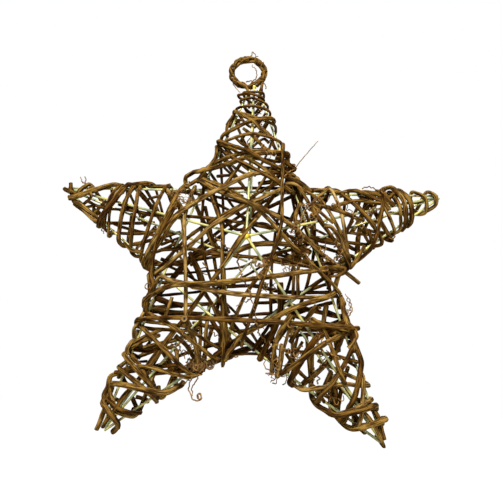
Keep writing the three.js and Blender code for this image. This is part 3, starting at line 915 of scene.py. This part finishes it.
        ("back", 3.5, [(330, 420), (240, 580), (190, 700)]),
        ("under", 3.5, [(160, 540), (280, 710), (400, 830), (470, 920)]),
        ("back", 3.5, [(740, 590), (830, 650)]),
        ("back", 4, [(790, 680), (740, 840), (700, 1000)]),
        ("under", 4, [(620, 720), (550, 870), (500, 1000)]),
        ("over", 4, [(400, 220), (560, 260), (720, 310), (800, 330)]),
        ("back", 3.5, [(580, 110), (720, 170)]),
        ("over", 5, [(730, 0), (750, 130), (780, 240), (830, 350), (860, 480)]),
        ("under", 3.5, [(740, 840), (850, 1010), (930, 1130)]),
        ("back", 4, [(400, 840), (520, 940), (640, 1010), (700, 1060)]),
        ("back", 6, [(700, 330), (680, 420), (690, 520)]),
        ("back", 4, [(600, 250), (700, 210), (760, 200)]),
        ("over", 3.5, [(940, 1120), (1010, 1200), (1080, 1310), (1140, 1450)]),
    ],
}
print(sum(len(rows) for rows in STRANDS.values()), "strands")

# %% [markdown]
# ## Lines of sight
# A pixel is a line of sight from the camera. The star's front and back are flat facets, so the
# depth where a line of sight meets either is found by a few rounds of stepping: guess a point,
# ask how far the star stands out there, and try again.

# %% Pixels and depths
SKIN_ROUNDS = 25
STEP_SHARE = 0.6


def sight(pixels):
    """Unit directions from the camera through pixels."""
    right, up, forward = (np.array(axis) for axis in (RIGHT, UP, FORWARD))
    x = (pixels[:, :1] - IMAGE_WIDTH / 2) / FOCAL_PIXELS
    y = (IMAGE_WIDTH / 2 - pixels[:, 1:2]) / FOCAL_PIXELS
    directions = forward + right * x + up * y
    return directions / np.linalg.norm(directions, axis=1)[:, None]


def seen(points):
    """Pixels of points, and their distances from the camera."""
    away = points - np.array(CAMERA_PLACE)
    depth = away @ np.array(FORWARD)
    x = IMAGE_WIDTH / 2 + FOCAL_PIXELS * (away @ np.array(RIGHT)) / depth
    y = IMAGE_WIDTH / 2 - FOCAL_PIXELS * (away @ np.array(UP)) / depth
    return np.stack([x, y], axis=1), np.linalg.norm(away, axis=1)


def standing_out(points):
    """How far the wire star stands out from its own plane at points' places in that plane."""
    flat = points[:, (0, 2)] - np.array(STAR_CENTRE)[[0, 2]]
    nearness = np.full(len(points), -np.inf)
    for arm in range(5):
        for other in (arm, arm - 1):
            a = np.array(tip(arm) - STAR_CENTRE)[[0, 2]]
            b = np.array(corner(other) - STAR_CENTRE)[[0, 2]]
            weights = flat @ np.linalg.inv(np.stack([a, b]))
            inside = (weights > -1e-6).all(axis=1)
            nearness = np.where(inside, 1 - weights.sum(axis=1), nearness)
    return HUB_HEIGHT * np.clip(nearness, 0, 1)


def skin_distance(directions, side):
    """Distances from the camera to the star's front (side -1) or back (side 1)."""
    place = np.array(CAMERA_PLACE)
    distance = -place[1] / directions[:, 1]
    for _ in range(SKIN_ROUNDS):
        height = side * standing_out(place + directions * distance[:, None])
        distance = (1 - STEP_SHARE) * distance + STEP_SHARE * (height - place[1]) / directions[:, 1]
    return distance


print("the front hub is seen at pixel", seen(np.array([tuple(hub(-1))]))[0][0].round(1))

# %% [markdown]
# ## What lies there already
# Everything laid is remembered as points with a radius. A new strand must clear every one that
# its own line of sight passes.

# %% Things laid
LAYER_MARGIN = 2 * MM


class Laid:
    """Points of everything laid so far, with radius, pixel and distance."""

    def __init__(self):
        self.points = np.zeros((0, 3))
        self.radii = np.zeros(0)
        self.pixels = np.zeros((0, 2))
        self.distances = np.zeros(0)

    def add(self, points, radius):
        pixels, distances = seen(points)
        self.points = np.vstack([self.points, points])
        self.radii = np.concatenate([self.radii, np.full(len(points), radius)])
        self.pixels = np.vstack([self.pixels, pixels])
        self.distances = np.concatenate([self.distances, distances])

    def blocking(self, pixels, radius, side, outward):
        """For each pixel, the distance at which a strand just clears one layer, from out or in."""
        chosen = side * self.points[:, 1] > -LAYER_MARGIN
        gaps = np.linalg.norm(pixels[:, None] - self.pixels[None, chosen], axis=2)
        gaps *= self.distances[None, chosen] / FOCAL_PIXELS
        needed = radius + self.radii[None, chosen]
        clear = np.sqrt(np.clip(needed ** 2 - gaps ** 2, 0, None))
        away = side if outward else -side
        limits = np.where(gaps < needed, self.distances[None, chosen] + away * clear, -away * np.inf)
        return limits.max(axis=1) if away > 0 else limits.min(axis=1)


laid = Laid()
for name, (line, radius) in main_lines.items():
    laid.add(line, radius)
print(len(laid.points), "points to lie on")

# %% [markdown]
# ## Tight and loose
# A strand that was pulled tight follows the shortest curve over what stands out most, which is
# the hull of it. A loose one stays near the star's face and gives way where it must.

# %% Tight and loose
LOOSE_ROUNDS = 40


def tight(travelled, limits, floor, away):
    """The shortest curve that stays outside the limits, from one end to the other."""
    heights = away * np.where(np.isfinite(limits), limits, floor - away)
    heights[0] = max(heights[0], away * floor[0])
    heights[-1] = max(heights[-1], away * floor[-1])
    hull = []
    for x, y in zip(travelled, heights):
        while len(hull) > 1:
            (x1, y1), (x2, y2) = hull[-2:]
            if (y2 - y1) * (x - x1) > (y - y1) * (x2 - x1):
                break
            hull.pop()
        hull.append((x, y))
    xs, ys = zip(*hull)
    return away * np.interp(travelled, xs, ys)


def loose(limits, floor, away):
    """A curve that keeps near the floor and gives way smoothly to the limits."""
    least = away * np.where(np.isfinite(limits), limits, floor)
    heights = least.copy()
    for _ in range(LOOSE_ROUNDS):
        padded = np.pad(heights, 2, mode="edge")
        heights = np.convolve(padded, np.full(5, 0.2), mode="valid")
        heights = np.maximum(heights, least)
    padded = np.pad(heights, 3, mode="edge")
    return away * np.convolve(padded, np.full(7, 1 / 7), mode="valid")


print("tight over one bump:", tight(np.arange(5), np.array([5.0, 5, 3, 5, 5]), np.full(5, 5.0), -1))

# %% [markdown]
# ## Laying a strand
# "Over" and "back" strands are laid tight from outside, the other two loose from within. Neither
# kind may stand far off the star's face, however many vines lie under it.

# %% Laying
MOST_LIFT = 11 * MM
MOST_OFF = 15 * MM
STRAND_STEP = 1.6


def lay(laid, pixels, radius, lie):
    """The line of one strand along a course of pixels."""
    side = -1 if lie in ("over", "under") else 1
    outward = lie in ("over", "back")
    away = side if outward else -side
    directions = sight(pixels)
    skin = skin_distance(directions, side)
    floor = skin + away * (radius + WIRE_RADIUS)
    limits = laid.blocking(pixels, radius, side, outward)
    furthest = skin + away * MOST_LIFT
    limits = np.where(np.isfinite(limits), away * np.minimum(away * limits, away * furthest), limits)
    travelled = np.concatenate([[0], np.cumsum(np.linalg.norm(np.diff(pixels, axis=0), axis=1))])
    distance = tight(travelled, limits, floor, away) if outward else loose(limits, floor, away)
    distance = away * np.minimum(away * distance, away * (skin + away * MOST_OFF))
    line = np.array(CAMERA_PLACE) + directions * distance[:, None]
    laid.add(line, radius)
    return line


def course(points, step=STRAND_STEP):
    """A smooth course through pixels, sampled evenly."""
    flat = np.array([(x, y, 0) for x, y in points], float)
    return smooth_line(flat, step)[:, :2]


print("strands lie at most", MOST_OFF / MM, "mm off the star's faces")

# %% [markdown]
# ## Ends of strands
# No strand ends in the air beside an edge wire. One in front is bent round the wire and tucked in
# behind it, as a binder would. One at the rear just ends against the wire, where it isn't seen.

# %% Ends
EDGE_NEARNESS = 11
WRAP_LENGTH = 7 * MM


def to_edge(point, heading):
    """The place at the star's edge just ahead of a point, or nothing if the edge is further off."""
    steps = point + heading * np.arange(EDGE_NEARNESS)[:, None] * MM
    beyond = np.flatnonzero(standing_out(steps) <= 0)
    return steps[beyond[0]] * (1, 0, 1) if len(beyond) else None


def hook(line, radius, lie):
    """The line, with each end that comes near an edge of the star brought to it or bent round it."""
    clear = np.array((0, WIRE_RADIUS + radius, 0))
    line = list(line)
    for _ in range(2):
        if len(line) > 3:
            heading = (line[-1] - line[-3]) * (1, 0, 1)
            heading /= max(np.linalg.norm(heading), 1e-6)
            edge = to_edge(line[-1], heading)
            if edge is not None and lie in ("over", "under"):
                back_in = edge - heading * WRAP_LENGTH
                rise = np.array((0, standing_out(back_in[None])[0], 0))
                line.append(edge + heading * 1.3 * radius - clear * 0.2)
                line.append(edge + heading * 0.3 * radius + clear)
                line.append(back_in + clear + rise)
            elif edge is not None:
                line.append(edge + clear)
        line.reverse()
    return np.array(line)


print("ends within", EDGE_NEARNESS, "mm of an edge are brought to it")

# %% [markdown]
# ## The strands
# Light falls off quickly between the vines, so the deeper a strand lies, the darker its tone:
# painted shade in the bark's colour.

# %% Strands
# Darker tones for deeper lies are painted shade, not the bark's own colour.
LIE_SHADE_TONES = {"over": 0.6, "under": 0.5, "back": 0.32, "inside": 0.28}
STRAND_ROUND_SHARE = 0.93


def strand(mesh, pixels, diameter, lie, name):
    """Lay one strand along a course of pixels and add it to a mesh."""
    radius = STRAND_ROUND_SHARE * diameter / 2 * MM
    line = lay(laid, pixels, radius, lie)
    line = hook(line[::2] if len(line) > 8 else line, radius, lie)
    sweep(mesh, smooth_line(line, DETAIL_STEP), radius, name, tone_of(name, LIE_SHADE_TONES[lie]))


for region, rows in STRANDS.items():
    left, upper, scale = ENLARGEMENTS[region]
    mesh = Mesh()
    for number, (lie, diameter, points) in enumerate(rows):
        pixels = course([(left + x / scale, upper + y / scale) for x, y in points])
        strand(mesh, pixels, diameter, lie, f"{region} {number}")
    piece = mesh.piece(region + "_strands", [BARK, CUT_WOOD], "vine_bark")
    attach(piece, "root")
print(len(laid.points), "points are laid now")

# %% [markdown]
# ## Binding on the ring
# The ring is not one smooth coil: thinner vine is wound round it, so that it looks like rope.
# Three such windings fill the hollows between the turns of the coil and leave its hole round.

# %% Ring binding
RING_MIDDLE_RADIUS = 19.3 * MM
RING_POINTS = 150
# Each row gives a name, turns, a starting angle, and the coil's reach and thickness in mm.
RING_BINDINGS = [("close", 11, 5, 2.9, 2.2), ("wide", 7, 4, 2.6, 2.6), ("reverse", -5, 7, 3.0, 1.6)]
mesh = Mesh()
for name, turns, start, reach, diameter in RING_BINDINGS:
    round_ring = np.linspace(0, 2 * math.pi, RING_POINTS)
    round_coil = turns * round_ring + start
    distance = RING_MIDDLE_RADIUS + reach * MM * np.cos(round_coil)
    line = np.stack([distance * np.cos(round_ring), reach * MM * np.sin(round_coil),
                     distance * np.sin(round_ring)], axis=1) + np.array(RING_CENTRE)
    sweep(mesh, line, diameter / 2 * MM, "ring " + name, tone_of("ring " + name), sides=8,
          roughness=RING_ROUGHNESS)
piece = mesh.piece("ring_binding", [BARK, CUT_WOOD], "vine_bark")
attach(piece, "root")
print(len(RING_BINDINGS), "windings round the ring")

# %% [markdown]
# ## Ends that face the camera
# Two thick stubs were cut off in front and show their cut straight on, each with the open hole
# that its pith has left.

# %% Facing stubs
STUBS = [("on the lower left", (184.3, 318.6), 4.8), ("on the right arm", (361.4, 226.3), 4.8)]
STUB_LENGTH = 16 * MM
STUB_BEND = np.array((5, 0, -6)) * MM
STUB_STANDS_OUT = 1.5 * MM
STUB_TONE = 0.7
WIDE_PITH = 0.62
mesh = Mesh()
for name, pixel, diameter in STUBS:
    place = np.array([pixel], float)
    directions = sight(place)
    radius = diameter / 2 * MM
    limits = laid.blocking(place, radius, -1, True)
    nearest = min(limits[0], skin_distance(directions, -1)[0])
    front = np.array(CAMERA_PLACE) + directions[0] * (nearest - STUB_STANDS_OUT)
    reach = np.linspace(0, 1, 9)[:, None]
    line = front + directions[0] * STUB_LENGTH * reach + STUB_BEND * reach ** 2
    sweep(mesh, line, radius, name, STUB_TONE, sides=16, taper=0, pith=WIDE_PITH)
piece = mesh.piece("facing_stubs", [BARK, CUT_WOOD], "vine_bark")
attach(piece, "root")
print(len(STUBS), "stubs face the camera")

# %% [markdown]
# ## The rear of the body
# Through the gaps of the front the photograph shows only dark strands, too mixed up to follow.
# Behind the body they are filled in by chance, always from one edge of the star to another, so
# that from behind the star is bound nearly as closely as in front.

# %% Strands that can't be followed
REAR_COUNT = 20
REAR_SEED = 11
MOST_BOW = 0.13
REAR_THICKNESS_MM = (3, 4.6)
ALONG_EDGE = (0.02, 0.34)
rng = random.Random(REAR_SEED)
mesh = Mesh()
for number in range(REAR_COUNT):
    first = rng.randrange(5)
    other = (first + rng.choice((1, 2, 2, 3))) % 5
    ends = []
    for arm in (first, other):
        edge = corner(arm - rng.randrange(2))
        ends.append(edge.lerp(tip(arm), rng.uniform(*ALONG_EDGE)))
    ends = np.array([tuple(end) for end in ends])
    across = ends[1] - ends[0]
    bow = np.array((-across[2], 0, across[0])) * rng.uniform(-MOST_BOW, MOST_BOW)
    route = np.array([ends[0], ends[0] + across * 0.35 + bow, ends[0] + across * 0.7 + bow, ends[1]])
    pixels = course(seen(route)[0])
    lie = "back" if number % 3 else "inside"
    strand(mesh, pixels, rng.uniform(*REAR_THICKNESS_MM), lie, f"rear {number}")
piece = mesh.piece("rear_strands", [BARK, CUT_WOOD], "vine_bark")
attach(piece, "root")
print(REAR_COUNT, "rear strands")

# %% [markdown]
# ## Welds
# Where wires meet, a small bead of weld has kept its bright yellow coat. It froze from a drop, so
# it is round, a little lumpy and smoother than the wire.

# %% Weld beads
WELD_RADIUS = 3.1 * MM
BEAD_ROWS = 7
BEAD_COLUMNS = 12
BEAD_LUMPS = 0.08
BEAD_FLATNESS = 0.8
weld_finish, tree, surface = new_material("yellow-passivated weld")
surface.inputs["Base Color"].default_value = linear("#d9b93a")
surface.inputs["Roughness"].default_value = 0.45
surface.inputs["Metallic"].default_value = 0.4
mesh = Mesh()


def bead(mesh, place, radius, seed):
    """A lumpy ball of weld."""
    rng = random.Random(seed)
    points = []
    for row in range(BEAD_ROWS + 1):
        for column in range(BEAD_COLUMNS):
            polar = math.pi * row / BEAD_ROWS
            turn = 2 * math.pi * column / BEAD_COLUMNS
            size = radius * (1 + rng.uniform(-BEAD_LUMPS, BEAD_LUMPS) * (0 < row < BEAD_ROWS))
            points.append(place + size * Vector((
                math.sin(polar) * math.cos(turn),
                BEAD_FLATNESS * math.sin(polar) * math.sin(turn),
                math.cos(polar),
            )))
    faces = []
    for row in range(BEAD_ROWS):
        for column in range(BEAD_COLUMNS):
            a = row * BEAD_COLUMNS + column
            b = row * BEAD_COLUMNS + (column + 1) % BEAD_COLUMNS
            faces.append((a, b, b + BEAD_COLUMNS, a + BEAD_COLUMNS))
    points = np.array([tuple(point) for point in points])
    mesh.add(points, faces, points / MM, 0.5, 0)


bead(mesh, hub(-1), WELD_RADIUS, "front hub")
bead(mesh, tip(0).lerp(STAR_CENTRE, 0.05), 0.9 * WELD_RADIUS, "top tip")
for arm in range(5):
    bead(mesh, corner(arm), 0.6 * WELD_RADIUS, f"corner {arm}")
piece = mesh.piece("weld_beads", [weld_finish], "galvanised_wire")
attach(piece, "root")
print(mesh.count, "points in the welds")

# %% [markdown]
# ## Tendril finish
# The vines climbed by thin tendrils, which have dried. They have no bark, so they are smooth but
# matt, and redder than the vines.

# %% Dried tendril
TENDRIL_PATCHES_PER_MM = (0.3, 0.3, 0.12)
tendril_finish, tree, surface = new_material("dried tendril")
place = add_node(tree, "ShaderNodeAttribute", {"attribute_name": "bark_place"})
wide = add_node(tree, "ShaderNodeMapping", None, {
    "Vector": place.outputs["Vector"], "Scale": TENDRIL_PATCHES_PER_MM})
patches = add_node(tree, "ShaderNodeTexNoise", None, {
    "Vector": wide.outputs[0], "Scale": 1.0, "Detail": 2.0})
tendril_colour = ramp(tree, patches.outputs["Fac"], [(0.35, "#38220b"), (0.5, "#6b4a17"), (0.65, "#96702e")])
tree.links.new(tendril_colour, surface.inputs["Base Color"])
surface.inputs["Roughness"].default_value = 0.8
print(tendril_finish.name)

# %% [markdown]
# ## How a tendril curls
# A tendril is a thin line that strays from its own course. One that strays far winds round the
# course in loops, as it once wound round a twig.

# %% Curl
LOOPS_FROM = 1.5 * MM


def curl(line, reach, seed):
    """A line that strays from another line in waves, or winds round it in loops if it strays far."""
    rng = random.Random(seed)
    _, across, over = side_directions(line)
    travelled = np.concatenate([[0], np.cumsum(np.linalg.norm(np.diff(line, axis=0), axis=1))])
    if reach > LOOPS_FROM:
        turn = travelled / (2.3 * reach) * 2 * math.pi + rng.uniform(0, 6.28)
        width = reach * (1 + 0.4 * np.sin(0.37 * turn + rng.uniform(0, 6.28)))
        return line + across * (width * np.cos(turn))[:, None] + over * (width * np.sin(turn))[:, None]
    moved = line.copy()
    for direction in (across, over):
        for wave in (4.0, 6.5, 11.0, 19.0):
            pace = rng.uniform(0.8, 1.2)
            stray = np.sin(travelled / (wave * MM) * 2 * math.pi * pace + rng.uniform(0, 6.28))
            moved += direction * (0.45 * reach * rng.uniform(0.6, 1.2) * stray)[:, None]
    return moved


print("tendrils that stray more than", LOOPS_FROM / MM, "mm are looped")

# %% [markdown]
# ## Tendrils followed in the photograph
# A few hang free and most are caught among the strands. Each row gives a name, how far the
# tendril strays in millimetres and its course in pixels.

# %% Tendrils
TENDRIL_MM = 1.1
TENDRIL_STEP = 0.5
TENDRIL_CLEARANCE = 0.4 * MM
TENDRILS = [
    ("by the top arm, standing out", 0.2, [(284, 177), (289, 172), (294, 169), (303, 158), (318, 141)]),
    ("at its knot", 1.2, [(292, 164), (295, 169), (291, 171), (297, 168)]),
    ("on the left tip, left", 0.6, [(85, 184), (82, 181), (80, 177)]),
    ("on the left tip, right", 0.6, [(85, 184), (86, 179), (84, 177)]),
    ("below the left arm", 1.5, [(106, 227), (103, 230), (105, 233)]),
    ("hanging, first", 0.5, [(193, 374), (189, 386), (191, 396), (195, 401), (201, 399), (200, 394),
                             (197, 395), (198, 399)]),
    ("hanging, second", 0.5, [(198, 374), (196, 381), (192, 389), (192, 396)]),
    ("hanging, third", 0.7, [(192, 380), (187, 381), (183, 384), (185, 382)]),
    ("hanging, its end", 0.9, [(201, 396), (198, 395), (199, 399), (202, 398)]),
    ("in the right armpit", 0.5, [(345, 294), (351, 303), (352, 310), (348, 317)]),
    ("in the right armpit, curled", 1.2, [(347, 298), (350, 308), (347, 314)]),
    ("above the right arm", 0.8, [(362, 189), (367, 187), (373, 188), (379, 191), (386, 193)]),
    ("below the right arm", 0.8, [(395, 236), (392, 239), (389, 238)]),
    ("left loop", 0.2, [(151, 284), (148, 283), (145, 286), (147, 289), (151, 288)]),
    ("middle, long", 0.8, [(237, 256), (242, 277), (251, 297), (236, 306)]),
    ("middle, lower", 0.9, [(249, 288), (255, 314), (260, 335), (266, 342)]),
    ("bottom edge", 0.7, [(224, 361), (231, 358), (238, 357)]),
    ("bottom right edge", 1.3, [(266, 375), (275, 374), (284, 377)]),
    ("left of the hub", 3.0, [(203, 275), (205, 263)]),
    ("across the left facet", 0.6, [(214, 236), (226, 246), (240, 257)]),
    ("right facet, upper", 2.0, [(299, 205), (308, 206), (312, 214)]),
    ("right facet, orange", 1.2, [(300, 222), (306, 210), (318, 198), (326, 205)]),
    ("right facet, middle", 2.2, [(292, 226), (300, 234), (296, 245)]),
    ("right facet, lower", 2.2, [(318, 248), (325, 256), (321, 264)]),
    ("right facet, ball", 2.5, [(322, 256), (332, 262), (340, 258)]),
    ("right facet, edge", 1.8, [(334, 240), (340, 250), (336, 260)]),
    ("right arm, ridge", 1.4, [(345, 205), (350, 210), (355, 218), (359, 224)]),
    ("right arm, middle", 2.0, [(366, 214), (372, 210), (378, 207)]),
    ("under the hub", 1.6, [(254, 262), (262, 266), (270, 262)]),
    ("under the hub, right", 2.2, [(286, 262), (294, 268), (302, 262)]),
    ("under the hub, loop", 2.4, [(264, 258), (266, 270)]),
    ("lower left arm", 1.2, [(172, 344), (178, 352), (186, 358)]),
    ("lower left arm, fine", 1.0, [(183, 329), (182, 341), (170, 346)]),
    ("lower left, looped", 1.4, [(208, 325), (214, 334), (220, 336)]),
    ("lower right arm, upper", 1.6, [(316, 332), (322, 340), (330, 346)]),
    ("lower right arm, middle", 1.2, [(312, 364), (316, 372), (318, 384)]),
    ("lower right arm, lower", 2.4, [(326, 396), (334, 402), (344, 398)]),
    ("lower right arm, inner", 1.8, [(276, 345), (284, 350), (292, 352)]),
    ("lower right arm, ridge", 1.0, [(326, 350), (332, 354), (340, 360)]),
    ("above the left shoulder", 1.8, [(176, 195), (184, 190), (190, 182)]),
    ("on the left shoulder", 1.4, [(172, 190), (180, 196), (186, 204)]),
    ("top arm, right side", 1.2, [(266, 134), (272, 140), (270, 148)]),
    ("top arm, middle", 1.6, [(262, 146), (268, 152), (276, 154)]),
    ("inside the ring", 1.0, [(252, 65), (256, 70), (256, 78), (252, 82)]),
    ("below the ring's hole", 0.5, [(246, 82), (251, 81), (256, 82)]),
    ("on top of the ring", 1.2, [(249, 57), (253, 54), (258, 57)]),
    ("right of the ring", 0.4, [(262, 82), (265, 85), (266, 89)]),
    ("left of the ring", 0.3, [(233, 84), (236, 88), (240, 93)]),
]


def tendril(mesh, points, nearer, reach, radius, name, sides):
    """Add a tendril along pixels, a little nearer to the camera than what it lies on."""
    pixels = course(points, TENDRIL_STEP)
    directions = sight(pixels)
    limits = laid.blocking(pixels, TENDRIL_CLEARANCE, -1, True)
    distance = loose(limits, skin_distance(directions, -1), -1) - nearer
    line = curl(np.array(CAMERA_PLACE) + directions * distance[:, None], reach, name)
    sweep(mesh, line, radius, name, 0.5, sides=sides, roughness=0.05, taper=0.6)


mesh = Mesh()
for name, reach, points in TENDRILS:
    tendril(mesh, points, reach * MM * 0.5, reach * MM, TENDRIL_MM / 2 * MM, name, 6)
print(len(TENDRILS), "tendrils")

# %% [markdown]
# ## Small curls by chance
# In some places the photograph shows more small curls than can be followed. They are strewn over
# those patches with a fixed seed. Each row gives a patch in pixels and how many curls it holds.

# %% Small curls
CURL_SEED = 5
CURL_PATCHES = [
    (282, 200, 338, 275, 36), (268, 328, 335, 390, 26), (172, 332, 198, 358, 8), (172, 188, 198, 204, 8),
    (245, 250, 280, 335, 8), (245, 110, 275, 155, 6),
]
rng = random.Random(CURL_SEED)
for left, upper, right, lower, count in CURL_PATCHES:
    for number in range(count):
        points = [(rng.uniform(left, right), rng.uniform(upper, lower))]
        heading = rng.uniform(0, 6.28)
        for _ in range(rng.randrange(2, 5)):
            heading += rng.uniform(-1.0, 1.0)
            step = rng.uniform(2.5, 5)
            x, y = points[-1]
            points.append((x + step * math.cos(heading), y + step * math.sin(heading)))
        reach = rng.choice((0.5, 0.9, 1.3, 1.8, 2.3))
        deeper = rng.uniform(-0.5, 3) * MM
        thickness = rng.uniform(0.7, 1.0) * MM
        tendril(mesh, points, -deeper, reach * MM, thickness / 2, f"chance {left} {number}", 5)
print(sum(patch[-1] for patch in CURL_PATCHES), "small curls")

# %% [markdown]
# ## A tangled ball
# Beside the lower left arm a handful of tendrils has tangled into a ball. It is drawn as many
# open loops of one thin line, each turned its own way.

# %% Ball of tendrils
BALL_CENTRE = (198, 366)
BALL_REACH = 8
BALL_SEED = 7
BALL_LOOPS = 90
BALL_SPREAD_MM = (4.4, 2.4, 2.2)
LOOP_RADIUS_MM = (1.4, 4.0)
LOOP_RISE = 0.35 * MM
ball_pixels = range(BALL_CENTRE[0] - BALL_REACH, BALL_CENTRE[0] + BALL_REACH + 1, 4)
ball_course = np.array([(x, BALL_CENTRE[1]) for x in ball_pixels], float)
ball_front = laid.blocking(ball_course, 2 * MM, -1, True)
ball_place = np.array(CAMERA_PLACE) + sight(np.array([BALL_CENTRE], float))[0] * ball_front.min()
rng = random.Random(BALL_SEED)
for number in range(BALL_LOOPS):
    axis = Vector((rng.gauss(0, 1), rng.gauss(0, 1), rng.gauss(0, 1))).normalized()
    middle = ball_place + np.array([rng.gauss(0, spread) for spread in BALL_SPREAD_MM]) * MM
    size = rng.uniform(*LOOP_RADIUS_MM) * MM
    first = np.array(axis.orthogonal().normalized())
    second = np.cross(np.array(axis), first)
    turn = np.linspace(0, rng.uniform(4, 9), 26)[:, None]
    loop = middle + first * size * np.cos(turn) + second * size * np.sin(turn)
    loop = loop + np.array(axis) * turn * LOOP_RISE
    sweep(mesh, loop, TENDRIL_MM / 2 * MM, f"ball {number}", 0.5, sides=5, roughness=0.05, taper=0.4)
piece = mesh.piece("tendrils", [tendril_finish, tendril_finish], "vine_bark")
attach(piece, "root")
print(BALL_LOOPS, "loops in the ball")
